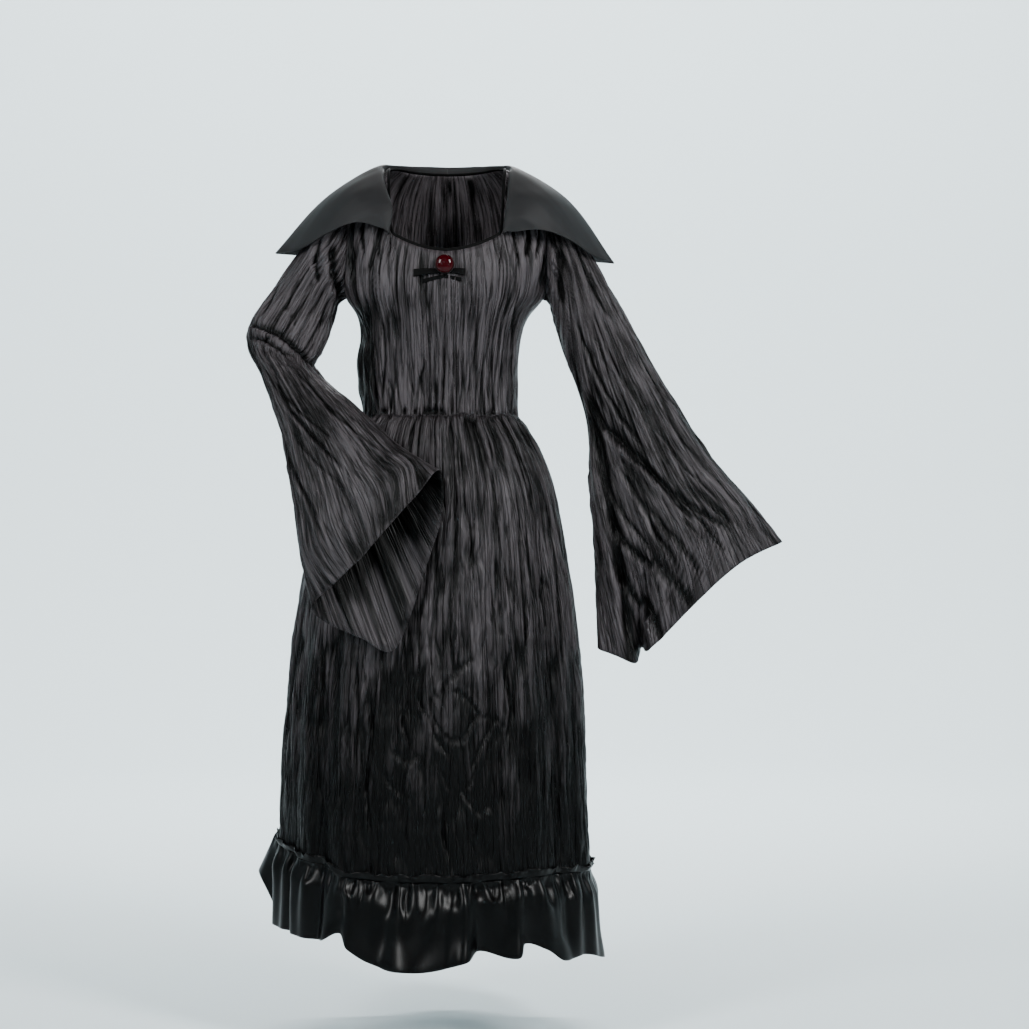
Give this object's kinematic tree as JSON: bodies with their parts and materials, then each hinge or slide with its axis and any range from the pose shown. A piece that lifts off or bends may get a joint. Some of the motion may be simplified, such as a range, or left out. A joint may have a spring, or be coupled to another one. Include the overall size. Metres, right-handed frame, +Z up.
{
  "type": "witch gown with collar and brooch",
  "caption": "Long black hollow stage gown as worn: crinkled bodice, gathered skirt with a satin hem flounce, wide bell sleeves, pointed satin collar and a round red brooch.",
  "frame": {"origin": "midway between the wearer's shoulders, where they carry the gown", "axes": "+Z up, -Y towards the front of the gown, +X towards the wearer's left"},
  "size_m": [0.9294, 0.4888, 1.3825],
  "materials": {
    "crinkled_satin": "crushed, finely pleated black satin with a soft sheen",
    "collar_satin": "smooth black satin, turned and pressed",
    "glossy_satin": "smooth glossy black satin",
    "binding": "black bias binding",
    "ribbon": "narrow black satin ribbon",
    "brooch_metal": "blackened metal",
    "red_stone": "polished dark ruby-red acrylic stone"
  },
  "bodies": {
    "root": {"bodice_front": "crinkled_satin", "bodice_back": "crinkled_satin", "neck_binding": "binding", "collar_right": "collar_satin", "collar_left": "collar_satin", "sleeve_right_front": "crinkled_satin", "sleeve_right_back": "crinkled_satin", "sleeve_left_front": "crinkled_satin", "sleeve_left_back": "crinkled_satin", "skirt_front": "crinkled_satin", "skirt_back": "crinkled_satin", "flounce_front": "glossy_satin", "flounce_back": "glossy_satin", "flounce_heading_front": "glossy_satin", "flounce_heading_back": "glossy_satin", "brooch_setting": "brooch_metal", "brooch_gem": "red_stone", "bow_knot": "ribbon", "bow_loop_right": "ribbon", "bow_loop_left": "ribbon", "bow_tail_right": "ribbon", "bow_tail_left": "ribbon"}
  },
  "joints": []
}
